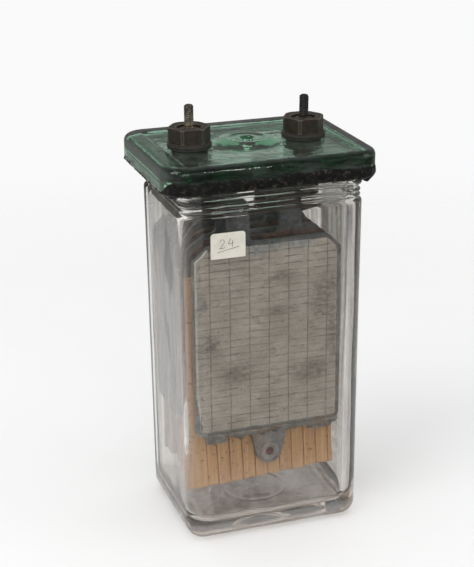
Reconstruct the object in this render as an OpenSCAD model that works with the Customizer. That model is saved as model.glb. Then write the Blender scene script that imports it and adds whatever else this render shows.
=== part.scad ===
// Glass-jar storage cell with a green glass cover, seven hung plates, grooved wood separators
// and two terminals with hexagonal nuts.
// Millimetres, Z up, origin below the cover's middle at the height of the jar's underside.
// The front faces -Y.
// The terminal on the -X side is the negative one, the one on the +X side the positive.

/* [Jar] */
// Outer width of the jar at its shoulder
jar_w = 127; // [115:1:150]
// Outer depth of the jar at its shoulder
jar_d = 102; // [92:1:130]
// Height of the jar's shoulder above its underside
jar_body_h = 233; // [190:1:280]
// Height of the neck from the shoulder to the rim
neck_h = 22; // [19:0.5:28]
// Thickness of the jar's walls
jar_wall = 5.5; // [4.5:0.25:7]
// Thickness of the jar's floor
jar_floor = 10; // [7:0.5:14]
// Radius of the jar's upright corners
jar_corner_r = 12.5; // [11:0.5:16]
// Radius of the jar's lower edge
jar_base_r = 10; // [5:0.5:10]
// How far each side wall leans in towards the base
draft_w = 1.6; // [0:0.1:3]
// How far the front and the back lean in towards the base
draft_d = 1.1; // [0:0.1:3]
// How far the neck stands in from the shoulder
neck_in = 2.2; // [1.2:0.1:2.6]
// How far the two thin rings of the neck stand out
ring_out = 1.2; // [0.4:0.1:1.2]
// Diameter of the mould ring on the jar's floor
mould_ring_d = 44; // [30:1:60]

/* [Cover] */
// How far the cover stands out past the jar's sides
over_w = 9.5; // [8.5:0.25:13]
// How far the cover stands out past the jar's front and back
over_d = 7; // [7:0.25:12]
// How far the cover and all that hangs on it sit off the jar's middle, towards -X
cover_shift = 2.2; // [0:0.1:2.4]
// Height of the cover's lower edge above the jar's shoulder
cover_lift = 16.5; // [14.5:0.25:18]
// Depth of the skirt below the cover's plate
skirt_h = 8.3; // [7:0.1:9.5]
// Thickness of the skirt
skirt_wall = 5; // [3.5:0.25:5.5]
// Thickness of the cover's plate at its border
cover_t = 9.7; // [8:0.1:13]
// Radius of the cover's upright corners
cover_corner_r = 16; // [12:0.5:24]
// Radius of the cover's top edge
cover_edge_r = 4.5; // [2:0.25:6]
// Width of the raised border round the cover's top
border_w = 12; // [9:0.5:14]
// How far the top panel lies below the border
panel_sink = 1.2; // [0.6:0.1:2.5]
// Space between the middle boss and the washers beside it
boss_gap = 2.25; // [1:0.25:6]
// Diameter of the middle boss at its top
boss_top_d = 28; // [20:0.5:30]
// Height of the middle boss above the panel
boss_h = 3; // [1.5:0.1:5]
// Diameter of the vent hole
vent_d = 8; // [5:0.5:14]

/* [Plates] */
// Number of plates, an odd number with a negative one at each end
plate_n = 7; // [3:2:9]
// Space between a plate's side edge and the jar's wall
side_gap = 6.5; // [4:0.25:10]
// Space between the outer plates and the jar's front or back wall
end_gap = 5.5; // [3:0.25:9]
// Height of the plates' top edge below the jar's shoulder
plate_drop = 23.5; // [15:0.5:40]
// Height of the plates' bottom edge above the jar's floor
plate_raise = 65; // [50:0.5:80]
// Thickness of a plate
plate_t = 6; // [4:0.1:8]
// How far the ribs of a plate stand in front of its frame
rib_t = 0.8; // [0.4:0.1:1.2]
// Width of the frame beside and below the rim
flange_w = 2.6; // [2:0.1:5]
// Width of the frame above the rim
top_flange = 1; // [0.6:0.1:3]
// Width of the raised rim between the frame and the cells
rim_w = 1.2; // [0.8:0.1:2.5]
// Number of columns of cells
cell_columns = 8; // [4:1:10]
// Number of rows of cells
cell_rows = 26; // [10:1:30]
// Distance between upright bars
bar_pitch = 13.75; // [12:0.25:14]
// Width of an upright bar
bar_w = 1.4; // [0.8:0.1:2.5]
// Height of a cross rib
rib_h = 1.1; // [0.6:0.1:1.6]
// Cut corner at a plate's top
top_cut = 9; // [4:0.5:14]

/* [Lugs and straps] */
// Distance between the negative and the positive lugs
lug_spacing = 41; // [36:0.5:50]
// Width of a plate's top lug
lug_w = 15; // [10:0.5:18]
// Height of a top lug from the plate to the strap
lug_h = 18.5; // [12:0.5:24]
// Thickness of the straps
strap_t = 8; // [5:0.5:10]
// Width of the arm from a strap to its post
arm_w = 14; // [10:0.5:16]
// Height of the small feet under each plate
foot_h = 6; // [3:0.5:8]
// Width of a foot
foot_w = 16; // [8:0.5:18]
// Distance between a plate's feet
foot_spacing = 76; // [56:1:76]
// Drop of the tie pin below the plates' bottom edge
pin_drop = 17.2; // [14:0.2:22]
// Diameter of the tie pin
pin_d = 5.6; // [4:0.1:8]
// Radius of the round end of a bottom lug
eye_r = 9.5; // [8:0.25:12]
// Diameter of the tie pin's end washers
tie_washer_d = 12.8; // [10:0.2:16]
// Thickness of the tie pin's end washers
tie_washer_t = 1; // [0.6:0.1:2]

/* [Separators] */
// How much narrower a separator board is than a plate, on each side
board_inset = 3; // [1:0.25:6]
// Free space on each face of a board
board_clear = 0.45; // [0.3:0.05:1]
// How far the boards' top edge has slipped below the plates' top edge
board_slip = 20; // [8:0.5:40]
// How far a board reaches below the tie pin
board_below = 21.5; // [14:0.5:30]
// Distance between grooves
groove_pitch = 9; // [6:0.5:14]
// Width of a groove
groove_w = 0.9; // [0.5:0.1:3]
// Depth of a groove
groove_depth = 1; // [0.6:0.1:1.8]

/* [Terminals] */
// Distance of a post's middle from the line of the jar's inner side wall
post_in = 18; // [17:0.25:20]
// Diameter of a post's threaded barrel
barrel_d = 15.7; // [14:0.1:17]
// Diameter of a post below its collar
shank_d = 13; // [10:0.5:13.5]
// Diameter of a post's collar and of the gasket on it
collar_d = 24; // [21:0.5:27]
// Thickness of a post's collar
collar_t = 3; // [2:0.25:4]
// Thickness of the gasket under the cover
gasket_t = 3; // [2:0.25:4]
// Diameter of the washer under a nut
washer_d = 29.5; // [28:0.5:30]
// Thickness of the washer under a nut
washer_t = 3.7; // [2:0.1:5]
// Width of a nut across its flats
nut_flats = 25.4; // [22:0.1:26]
// Height of a nut
nut_h = 10.5; // [8:0.25:14]
// Height of the turned-down part of a nut's corners, at top and bottom
nut_chamfer = 0.7; // [0.3:0.1:1.2]
// How far a post's top lies below its nut's top
post_sink = 2.7; // [1:0.1:4]
// Diameter of the stud in a post
stud_d = 6.35; // [5:0.05:8]
// How far a stud stands above its nut
stud_out = 14.5; // [8:0.5:25]
// Height of the run-out groove round a stud, half of it above its nut
stud_groove_h = 1; // [0.5:0.1:2]
// Depth of that groove
stud_groove = 0.5; // [0.2:0.05:0.8]
// Depth of a stud's seat in the post
stud_seat = 14; // [8:0.5:16]

/* [Label and seal] */
// Width of the paper label
label_w = 23.5; // [18:0.5:30]
// Height of the paper label
label_h = 17.3; // [12:0.5:24]
// Thickness of the paper label
label_t = 0.2; // [0.1:0.05:0.4]
// Distance of the label's left edge from the jar's left side
label_in = 18.5; // [14:0.5:34]
// Depth of the label's middle below the jar's shoulder
label_down = 19.8; // [14:0.5:40]
// Space between the sealing compound and the jar
seal_clear = 0.3; // [0.2:0.05:0.6]

/* [Fits] */
// Space between a nut's thread and its post, on each side
thread_clear = 0.06; // [0.03:0.01:0.1]
// Space between a post and the cover, washer and gasket round it
hole_clear = 0.5; // [0.2:0.05:1]
// Space between a stud and its seat
stud_clear = 0.02; // [0.01:0.01:0.05]
// Space between the tie pin and what hangs on it
pin_clear = 0.25; // [0.1:0.05:0.4]

/* [Hidden] */
$fn = 48;
corner_steps = 8;
negative_n = (plate_n + 1) / 2;
positive_n = (plate_n - 1) / 2;
board_n = plate_n - 1;

rim_z = jar_body_h + neck_h;
inner_w = jar_w - 2 * jar_wall;
inner_d = jar_d - 2 * jar_wall;
floor_r = 6;
// Rings round the neck: height above the shoulder, how far they stand out, half their width
neck_rings = [[2.8, ring_out, 0.5], [6.2, ring_out, 0.5], [11.4, neck_in, 1.1]];

cover_w = jar_w + 2 * over_w;
cover_d = jar_d + 2 * over_d;
cover_z = jar_body_h + cover_lift;
ceiling_z = cover_z + skirt_h;
cover_top = ceiling_z + cover_t;
panel_z = cover_top - panel_sink;

plate_w = inner_w - 2 * side_gap;
stack_d = inner_d - 2 * end_gap;
plate_pitch = (stack_d - plate_t) / (plate_n - 1);
plate_bottom = jar_floor + plate_raise;
plate_top = jar_body_h - plate_drop;
plate_h = plate_top - plate_bottom;
core_t = plate_t - 2 * rib_t;
cell_inset = flange_w + rim_w;
cell_top_inset = top_flange + rim_w;
row_pitch = (plate_h - cell_inset - cell_top_inset + rib_h) / cell_rows;

strap_z = plate_top + lug_h;
pin_z = plate_bottom - pin_drop;
board_w = plate_w - 2 * board_inset;
board_t = plate_pitch - plate_t - 2 * board_clear;
board_above = plate_top - board_slip - pin_z;
// Largest lean at which a board's upper corner still clears the jar's wall
board_room = inner_w / 2 - cover_shift - board_w / 2 - 1;
max_lean = asin(board_room / board_above);
// Share of that lean that each board has taken up, front to back
board_leans = [0.95, 0.4, -0.15, 0.2, -0.3, 0.25, 0.1, -0.2];

post_spacing = inner_w - 2 * post_in;
boss_d = post_spacing - washer_d - 2 * boss_gap;
collar_z = ceiling_z - gasket_t - collar_t;
nut_z = panel_z + washer_t;
nut_top = nut_z + nut_h;
barrel_top = nut_top - post_sink;
stud_top = nut_top + stud_out;

// Lumps of compound below the skirt: side of the cover in X and Y, place along it, radius
seal_lumps = [[1, -1, 0, 3.4], [1, -1, 7, 2.6], [-1, -1, 3, 2.4], [-1, -1, 12, 2]];

// Points of one corner arc of an outline, with its neighbours before and after
function arc_at(before, p, after, r) =
    let (
        u = (before - p) / norm(before - p),
        v = (after - p) / norm(after - p),
        half = acos(u * v) / 2,
        middle = p + (u + v) / norm(u + v) * r / sin(half),
        first = p + u * r / tan(half) - middle,
        last = p + v * r / tan(half) - middle,
        start = atan2(first.y, first.x),
        turn = atan2(first.x * last.y - first.y * last.x, first * last)
    )
    [for (i = [0:corner_steps]) middle + r * [cos(start + turn * i / corner_steps),
        sin(start + turn * i / corner_steps)]];

// Outline through corners given as [x, y, radius]
function outline(corners) =
    let (n = len(corners))
    [for (i = [0:n - 1])
        let (p = corners[i], a = corners[(i + n - 1) % n], b = corners[(i + 1) % n])
        each p.z > 0 ? arc_at([a.x, a.y], [p.x, p.y], [b.x, b.y], p.z) : [[p.x, p.y]]];

// Rectangle with round corners, centred
function round_box(w, d, r) =
    outline([[w / 2, d / 2, r], [-w / 2, d / 2, r], [-w / 2, -d / 2, r], [w / 2, -d / 2, r]]);

// The same rectangle as a ring of points at one height
function ring(w, d, r, z) = [for (p = round_box(w, d, r)) [p.x, p.y, z]];

// Solid whose wall runs through a list of rings, closed flat at the first and the last
module skin(rings) {
    m = len(rings);
    n = len(rings[0]);
    polyhedron(
        points = [for (r = rings) each r],
        faces = concat(
            [[for (i = [0:n - 1]) i]],
            [for (k = [0:m - 2], i = [0:n - 1])
                [k * n + i, (k + 1) * n + i, (k + 1) * n + (i + 1) % n, k * n + (i + 1) % n]],
            [[for (i = [n - 1:-1:0]) (m - 1) * n + i]]
        )
    );
}

// Ring of the jar at height z, standing in from the outer face of the body
function jar_ring(inset, z) =
    let (lean = 1 - min(z, jar_body_h) / jar_body_h)
    ring(jar_w - 2 * (draft_w * lean + inset), jar_d - 2 * (draft_d * lean + inset),
        max(jar_corner_r - inset, 1), z);

// Heights and insets of the neck, from the shoulder up to the rim
function neck_profile() = concat(
    [[-2, 0], [-0.6, 0.25], [0.3, 0.9], [0.8, neck_in]],
    [for (b = neck_rings) each
        [[b[0] - b[2] - 0.6, neck_in], [b[0] - b[2], neck_in - b[1]],
        [b[0] + b[2], neck_in - b[1]], [b[0] + b[2] + 0.6, neck_in]]],
    [[neck_h - 1, neck_in], [neck_h, neck_in + 0.9]]
);

module jar() {
    color([0.80, 0.82, 0.80, 0.35]) translate([cover_shift, 0, 0]) {
        skin(concat(
            [for (k = [0:5]) jar_ring(jar_base_r * (1 - sin(18 * k)), jar_base_r * (1 - cos(18 * k)))],
            [for (p = neck_profile()) jar_ring(p[1], jar_body_h + p[0])],
            [jar_ring(jar_wall - 0.8, rim_z), jar_ring(jar_wall, rim_z - 0.8)],
            [for (k = [4:-1:0])
                jar_ring(jar_wall + floor_r * (1 - sin(22.5 * k)),
                    jar_floor + floor_r * (1 - cos(22.5 * k)))]
        ));
        translate([0, 0, jar_floor - 0.5])
            rotate_extrude() polygon([[mould_ring_d / 2 - 1.5, 0], [mould_ring_d / 2 + 1.5, 0],
                [mould_ring_d / 2 + 0.7, 1.1], [mould_ring_d / 2 - 0.7, 1.1]]);
    }
}

// Ring of the cover at height z, standing in from its outer face
function cover_ring(inset, z) =
    ring(cover_w - 2 * inset, cover_d - 2 * inset, max(cover_corner_r - inset, 5), z);

module cover() {
    color([0.36, 0.56, 0.47, 0.7]) difference() {
        union() {
            skin(concat(
                [cover_ring(skirt_wall + 2, ceiling_z), cover_ring(skirt_wall, ceiling_z - 2)],
                [cover_ring(skirt_wall, cover_z + 0.8), cover_ring(skirt_wall - 0.8, cover_z)],
                [cover_ring(1, cover_z), cover_ring(0, cover_z + 1)],
                [for (k = [0:4]) cover_ring(cover_edge_r * (1 - cos(22.5 * k)),
                    cover_top - cover_edge_r * (1 - sin(22.5 * k)))],
                [cover_ring(border_w, cover_top), cover_ring(border_w + 2, panel_z)]
            ));
            translate([0, 0, panel_z - 1])
                rotate_extrude() polygon([[0, 0], [boss_d / 2, 0], [boss_d / 2, 1],
                    [boss_top_d / 2 + 1, boss_h + 0.6], [boss_top_d / 2, boss_h + 1], [0, boss_h + 1]]);
        }
        for (side = [-1, 1])
            translate([side * post_spacing / 2, 0, ceiling_z - 1])
                cylinder(d = barrel_d + 2 * hole_clear, h = cover_t + 2);
        translate([0, 0, ceiling_z - 1]) cylinder(d = vent_d, h = cover_t + boss_h + 2);
    }
}

// Black compound poured between the skirt and the jar's neck
module sealing_compound() {
    outer_w = cover_w - 2 * skirt_wall;
    outer_d = cover_d - 2 * skirt_wall;
    outer_r = max(cover_corner_r - skirt_wall, 5);
    bead = neck_rings[2];
    low_z = jar_body_h + bead[0] + bead[2] + 1;
    neck_w = jar_w - 2 * neck_in + 2 * seal_clear;
    neck_d = jar_d - 2 * neck_in + 2 * seal_clear;
    neck_r = jar_corner_r - neck_in + seal_clear;
    color([0.13, 0.12, 0.11]) {
        difference() {
            union() {
                translate([0, 0, cover_z]) linear_extrude(skirt_h - 2)
                    polygon(round_box(outer_w, outer_d, outer_r));
                translate([0, 0, ceiling_z - 2]) linear_extrude(2)
                    polygon(round_box(outer_w - 4, outer_d - 4, outer_r - 2));
                for (p = seal_lumps) let (r = min(p[3], cover_z - low_z))
                    translate([p[0] * (outer_w / 2 - r), p[1] * (outer_d / 2 - 9 - p[2]),
                        cover_z + 0.5]) sphere(r = r);
            }
            translate([cover_shift, 0, low_z - 8]) linear_extrude(rim_z + seal_clear - low_z + 8)
                polygon(round_box(neck_w, neck_d, neck_r));
            translate([cover_shift, 0, rim_z]) linear_extrude(ceiling_z - rim_z + 1)
                polygon(round_box(inner_w + 1, inner_d + 1, jar_corner_r - jar_wall));
        }
    }
}

// Height and X of a plate's plan, taken as x and y of a drawing that stands upright
module upright(t, y) {
    translate([0, y + t / 2, 0]) rotate([90, 0, 0]) linear_extrude(t) children();
}

// Middle of a plate along Y, counted from the front plate; boards lie at the half steps
function stack_y(steps) = -stack_d / 2 + plate_t / 2 + steps * plate_pitch;

// Plate's outline, smaller by inset at the sides and the bottom and by top_inset at the top
module plate_outline(inset, top_inset) {
    half = plate_w / 2 - inset;
    low = plate_bottom + inset;
    high = plate_top - top_inset;
    cut = top_cut - 0.6 * inset;
    polygon(outline([[-half, low, 5], [half, low, 5], [half, high - cut, 5], [half - cut, high, 5],
        [-half + cut, high, 5], [-half, high - cut, 5]]));
}

// Upright spaces between the bars, over the full height of the cells
module column_spaces() {
    first = -(cell_columns - 2) / 2 * bar_pitch;
    edges = concat([-plate_w / 2], [for (i = [0:cell_columns - 2]) first + i * bar_pitch],
        [plate_w / 2]);
    intersection() {
        plate_outline(cell_inset, cell_top_inset);
        for (i = [0:cell_columns - 1])
            translate([edges[i] + bar_w / 2, plate_bottom])
                square([edges[i + 1] - edges[i] - bar_w, plate_h]);
    }
}

// Level spaces between the cross ribs, over the full width of the plate's field
module row_spaces() {
    intersection() {
        plate_outline(cell_inset, cell_top_inset);
        for (j = [0:cell_rows - 1])
            translate([-plate_w / 2, plate_bottom + cell_inset + j * row_pitch])
                square([plate_w, row_pitch - rib_h]);
    }
}

// Top lug with a flared root
module lug_outline(x) {
    flare = 5;
    half = lug_w / 2;
    foot = half + flare + 1;
    polygon(outline([[x - foot, plate_top - 3, 0], [x + foot, plate_top - 3, 0],
        [x + foot, plate_top, 0], [x + half, plate_top, flare],
        [x + half, strap_z, 0], [x - half, strap_z, 0],
        [x - half, plate_top, flare], [x - foot, plate_top, 0]]));
}

module foot_outline(x) {
    half = foot_w / 2;
    low = plate_bottom - foot_h;
    polygon(outline([[x - half, low, 2.5], [x + half, low, 2.5],
        [x + half, plate_bottom + 2, 0], [x - half, plate_bottom + 2, 0]]));
}

// Bottom lug with its eye for the tie pin
module eye_outline() {
    polygon([[-eye_r - 4, plate_bottom + 2], [-eye_r - 3.5, plate_bottom - 2], [-eye_r, pin_z],
        [eye_r, pin_z], [eye_r + 3.5, plate_bottom - 2], [eye_r + 4, plate_bottom + 2]]);
    translate([0, pin_z]) circle(r = eye_r);
}

// Cast grid of one plate: frame, bars and what they share with the ribs all through, the ribs
// themselves on both faces, and its lug at x
module grid(steps, x, eye) {
    y = stack_y(steps);
    difference() {
        upright(core_t, y) difference() {
            union() {
                plate_outline(0, 0);
                lug_outline(x);
                for (side = [-1, 1]) foot_outline(side * foot_spacing / 2);
                if (eye) eye_outline();
            }
            column_spaces();
        }
        if (eye) translate([0, y + core_t / 2 + 1, pin_z]) rotate([90, 0, 0])
            cylinder(d = pin_d + 2 * pin_clear, h = core_t + 2);
    }
    upright(plate_t, y) difference() {
        plate_outline(flange_w, top_flange);
        row_spaces();
        column_spaces();
    }
    for (side = [-1, 1])
        upright(rib_t, y + side * (core_t + rib_t) / 2) difference() {
            plate_outline(flange_w, top_flange);
            row_spaces();
        }
}

// Active material in the columns of one plate
module paste(steps) {
    upright(core_t, stack_y(steps)) column_spaces();
}

module negative_grid(i) {
    color([0.52, 0.52, 0.50]) grid(2 * (i - 1), -lug_spacing / 2, true);
}

module positive_grid(i) {
    color([0.33, 0.25, 0.22]) grid(2 * i - 1, lug_spacing / 2, false);
}

module negative_paste(i) {
    color([0.62, 0.60, 0.56]) paste(2 * (i - 1));
}

module positive_paste(i) {
    color([0.38, 0.24, 0.19]) paste(2 * i - 1);
}

// Plan of a separator board with grooves on both faces
module board_plan() {
    count = floor((board_w / 2 - groove_w) / groove_pitch);
    difference() {
        square([board_w, board_t], center = true);
        for (k = [-count:count], side = [-1, 1])
            translate([k * groove_pitch, side * board_t / 2])
                square([groove_w, 2 * groove_depth], center = true);
    }
}

// Board between two plates, hung on the tie pin and leaning
module separator(i) {
    color([0.66, 0.49, 0.33])
        translate([0, stack_y(i - 0.5), pin_z]) rotate([0, -board_leans[i - 1] * max_lean, 0])
            difference() {
                translate([0, 0, -board_below]) linear_extrude(board_above + board_below) board_plan();
                translate([0, board_t / 2 + 1, 0]) rotate([90, 0, 0])
                    cylinder(d = pin_d + 2 * pin_clear, h = board_t + 2);
            }
}

module tie_pin() {
    length = (plate_n - 1) * plate_pitch + core_t + 2 * tie_washer_t + 0.6;
    color([0.42, 0.33, 0.26])
        translate([0, length / 2, pin_z]) rotate([90, 0, 0]) cylinder(d = pin_d, h = length);
}

module tie_washers() {
    color([0.60, 0.58, 0.54])
        for (side = [-1, 1])
            translate([0, side * ((plate_n - 1) * plate_pitch / 2 + core_t / 2 + tie_washer_t / 2)
                + tie_washer_t / 2, pin_z])
                rotate([90, 0, 0]) difference() {
                    cylinder(d = tie_washer_d, h = tie_washer_t);
                    translate([0, 0, -1]) cylinder(d = pin_d + 2 * stud_clear, h = tie_washer_t + 2);
                }
}

// Strap that joins the lugs of one sign, with an arm round the foot of the post
module strap(side, plates) {
    bar_d = (plates - 1) * 2 * plate_pitch + core_t + 2;
    lug_x = side * lug_spacing / 2;
    post_x = side * post_spacing / 2;
    translate([0, 0, strap_z]) difference() {
        linear_extrude(strap_t) union() {
            translate([lug_x, 0]) polygon(round_box(lug_w + 1, bar_d, 3));
            translate([(lug_x + post_x) / 2, 0])
                square([(post_spacing - lug_spacing) / 2, arm_w], center = true);
            translate([post_x, 0]) circle(d = shank_d + 7);
        }
        translate([post_x, 0, -1]) cylinder(d = shank_d + 2 * stud_clear, h = strap_t + 2);
    }
}

module negative_strap() {
    color([0.45, 0.45, 0.44]) strap(-1, negative_n);
}

module positive_strap() {
    color([0.35, 0.26, 0.22]) strap(1, positive_n);
}

// Lead post: foot in the strap, collar under the cover, threaded barrel through it
module post(side) {
    foot = shank_d / 2;
    barrel = barrel_d / 2;
    seat = stud_d / 2 + stud_clear;
    translate([side * post_spacing / 2, 0, 0]) rotate_extrude() polygon([
        [0, strap_z], [foot, strap_z], [foot, collar_z - 2], [foot + 2, collar_z],
        [collar_d / 2 - 0.5, collar_z], [collar_d / 2, collar_z + 0.5],
        [collar_d / 2, collar_z + collar_t], [barrel, collar_z + collar_t],
        [barrel, barrel_top - 1], [barrel - 1, barrel_top],
        [seat, barrel_top], [seat, barrel_top - stud_seat], [0, barrel_top - stud_seat]]);
}

module negative_post() {
    color([0.40, 0.40, 0.39]) post(-1);
}

module positive_post() {
    color([0.36, 0.27, 0.23]) post(1);
}

module stud(side) {
    r = stud_d / 2;
    low = nut_top - stud_groove_h / 2;
    high = nut_top + stud_groove_h / 2;
    translate([side * post_spacing / 2, 0, 0]) rotate_extrude() polygon([
        [0, barrel_top - stud_seat], [r, barrel_top - stud_seat],
        [r, low], [r - stud_groove, low], [r - stud_groove, high], [r, high],
        [r, stud_top - 0.6], [r - 0.6, stud_top], [0, stud_top]]);
}

module negative_stud() {
    color([0.50, 0.47, 0.37]) stud(-1);
}

module positive_stud() {
    color([0.30, 0.29, 0.28]) stud(1);
}

// Hexagonal nut whose corners are turned down at top and bottom
module nut(side, turned) {
    corner_r = nut_flats / 2 / cos(30);
    cut_r = corner_r - nut_chamfer / tan(30);
    side_r = corner_r + 0.1;
    bore = barrel_d / 2 + thread_clear;
    translate([side * post_spacing / 2, 0, nut_z]) rotate([0, 0, turned]) difference() {
        intersection() {
            cylinder(r = corner_r, h = nut_h, $fn = 6);
            rotate_extrude() polygon([[0, 0], [cut_r, 0], [side_r, nut_chamfer],
                [side_r, nut_h - nut_chamfer], [cut_r, nut_h], [0, nut_h]]);
        }
        translate([0, 0, -1]) cylinder(r = bore, h = nut_h + 2);
    }
}

module negative_nut() {
    color([0.24, 0.20, 0.18]) nut(-1, -5);
}

module positive_nut() {
    color([0.24, 0.20, 0.18]) nut(1, 0);
}

// Flat ring round a post
module flat_ring(side, z, d, t) {
    translate([side * post_spacing / 2, 0, z]) difference() {
        cylinder(d = d, h = t);
        translate([0, 0, -1]) cylinder(d = barrel_d + 2 * hole_clear, h = t + 2);
    }
}

module negative_washer() {
    color([0.17, 0.14, 0.15]) flat_ring(-1, panel_z, washer_d, washer_t);
}

module positive_washer() {
    color([0.17, 0.14, 0.15]) flat_ring(1, panel_z, washer_d, washer_t);
}

module negative_gasket() {
    color([0.10, 0.10, 0.10]) flat_ring(-1, ceiling_z - gasket_t, collar_d, gasket_t);
}

module positive_gasket() {
    color([0.10, 0.10, 0.10]) flat_ring(1, ceiling_z - gasket_t, collar_d, gasket_t);
}

// Paper label laid on the sloping front of the jar
module paper_label() {
    slope = atan(draft_d / jar_body_h);
    z = jar_body_h - label_down;
    front = -jar_d / 2 + draft_d * label_down / jar_body_h;
    half_w = label_w / 2;
    half_h = label_h / 2;
    x = cover_shift - jar_w / 2 + label_in + half_w;
    color([0.90, 0.88, 0.82])
        translate([x, front - 0.02, z]) rotate([90 + slope, 0, 0]) linear_extrude(label_t)
            polygon(outline([[-half_w, -half_h, 0.5], [half_w, -half_h, 0.5],
                [half_w, half_h, 2.2], [-half_w, half_h, 2.2]]));
}

jar();
cover();
sealing_compound();
negative_post();
positive_post();
negative_stud();
positive_stud();
negative_nut();
positive_nut();
negative_washer();
positive_washer();
negative_gasket();
positive_gasket();
negative_strap();
positive_strap();
for (i = [1:negative_n]) negative_grid(i);
for (i = [1:positive_n]) positive_grid(i);
for (i = [1:negative_n]) negative_paste(i);
for (i = [1:positive_n]) positive_paste(i);
for (i = [1:board_n]) separator(i);
tie_pin();
tie_washers();
paper_label();
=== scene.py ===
import math

import bmesh
import bpy
import numpy as np
from mathutils import Matrix, Vector


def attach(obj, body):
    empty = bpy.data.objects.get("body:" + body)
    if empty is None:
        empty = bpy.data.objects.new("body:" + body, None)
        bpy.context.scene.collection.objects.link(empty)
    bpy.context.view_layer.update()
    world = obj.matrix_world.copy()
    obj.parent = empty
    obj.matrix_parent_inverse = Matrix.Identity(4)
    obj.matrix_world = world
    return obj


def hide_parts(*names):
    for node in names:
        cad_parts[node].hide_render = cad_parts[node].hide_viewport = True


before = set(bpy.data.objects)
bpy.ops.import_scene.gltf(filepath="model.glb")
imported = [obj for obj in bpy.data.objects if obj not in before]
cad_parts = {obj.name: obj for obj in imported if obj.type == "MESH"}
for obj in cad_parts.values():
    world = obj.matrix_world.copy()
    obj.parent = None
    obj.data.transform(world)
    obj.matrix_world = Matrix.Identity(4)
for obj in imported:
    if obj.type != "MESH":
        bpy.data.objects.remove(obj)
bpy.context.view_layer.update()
scene = bpy.context.scene

# Sizes in mm, as in the solids. Meshes are built in mm, and make() scales them to metres.
JAR_W, JAR_D, SHOULDER = 127.0, 102.0, 233.0
WALL, FLOOR, JAR_R, BASE_R, NECK_IN = 5.5, 10.0, 12.5, 10.0, 2.2
LEAN_W, LEAN_D = 1.6, 1.1  # how far each side of the jar draws in towards the foot
SHIFT = 2.2  # how far the jar stands to the right of the cover
COVER_W, COVER_D, COVER_R, SKIRT = 146.0, 116.0, 16.0, 5.0
COVER_Z, CEILING, COVER_TOP, PANEL = 249.5, 257.8, 267.5, 266.3
TOP_EDGE_R, BOSS_R, VENT_R, POST_HOLE_R = 4.5, 23.5, 4.0, 8.35
POST_X, BARREL_TOP, NUT_Z, NUT_TOP = 40.0, 277.8, 270.0, 280.5
NUT_FLATS, BORE_R, THREAD_DEPTH, THREAD_PITCH, WASHER_R = 25.4, 7.93, 0.75, 2.309, 14.75
STUD_R, STUD_LOW, STUD_TOP, STUD_PITCH = 3.175, 264.0, 295.0, 1.27
PLATE_W, PLATE_LOW, PLATE_HIGH, PLATE_T, STACK = 103.0, 75.0, 209.5, 6.0, 80.0
PITCH = (STACK - PLATE_T) / 6
FLANGE, TOP_FLANGE, RIM, TOP_CUT = 2.6, 1.0, 1.2, 9.0
BAR_STEP, RIB_ROWS = 13.75, 26
BOARD_HALF, GROOVE_STEP, GROOVE_DEPTH, PIN_Z = 48.5, 9.0, 0.7, 57.8

# Sizes in mm that only the scene has.
INNER_R = 11.6  # the jar's inner upright corners, wider than in the solids
MOULD_RING_R = 22
FACE_OVERLAP = 2.0  # how far the smeared face reaches over the flange on the left
FRONT_BOARD_LEFT = -53.8  # left edge of the first board, which stays upright


# ---- noise and meshes

def value_noise(p, seed):
    """Smooth noise of points p (n, 3), about -1 to 1."""
    i = np.floor(p).astype(np.int64)
    f = p - i
    f = f * f * (3 - 2 * f)
    total = np.zeros(len(p))
    for corner in range(8):
        step = np.array([corner & 1, corner >> 1 & 1, corner >> 2 & 1])
        k = i + step
        h = k[:, 0] * 374761393 + k[:, 1] * 668265263 + k[:, 2] * 1440670441 + seed * 974634777
        h = (h ^ (h >> 13)) * 1274126177
        v = ((h ^ (h >> 16)) & 0xFFFF) / 32768.0 - 1.0
        total += v * np.prod(np.where(step == 1, f, 1 - f), axis=1)
    return total


def fbm(p, octaves, seed):
    """Sum of noise in octaves, each twice as fine and half as strong as the one before."""
    p = np.asarray(p, float)
    return sum(value_noise(p * 2 ** o, seed + o) / 2 ** o for o in range(octaves))


def rise(v, start, end):
    """0 to 1 as v goes from start to end, which may be the lower one."""
    return np.clip((v - start) / (end - start), 0, 1)


def soften(me, angle):
    """Shades a mesh smooth but for edges sharper than angle."""
    me.polygons.foreach_set("use_smooth", [True] * len(me.polygons))
    me.set_sharp_from_angle(angle=math.radians(angle))


def place(name, data):
    """Object in the scene with the data given."""
    ob = bpy.data.objects.new(name, data)
    scene.collection.objects.link(ob)
    return ob


def make(name, points, faces, smooth_angle=40.0, fix_normals=True):
    """Object from points in mm and faces."""
    me = bpy.data.meshes.new(name)
    me.from_pydata((np.asarray(points, float) / 1000).tolist(), [], faces)
    if fix_normals:
        bm = bmesh.new()
        bm.from_mesh(me)
        bmesh.ops.recalc_face_normals(bm, faces=bm.faces)
        bm.to_mesh(me)
        bm.free()
    soften(me, smooth_angle)
    return place(name, me)


def skin(name, rings, wrap=False, **kw):
    """Solid through rings of points, which wraps round to the first ring or has two flat ends."""
    n, m = len(rings[0]), len(rings)
    faces = []
    for k in range(m if wrap else m - 1):
        a, b = k * n, (k + 1) % m * n
        faces += [(a + i, a + (i + 1) % n, b + (i + 1) % n, b + i) for i in range(n)]
    if not wrap:
        faces += [tuple(range(n)), tuple(range((m - 1) * n, m * n))]
    return make(name, np.vstack(rings), faces, **kw)


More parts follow.
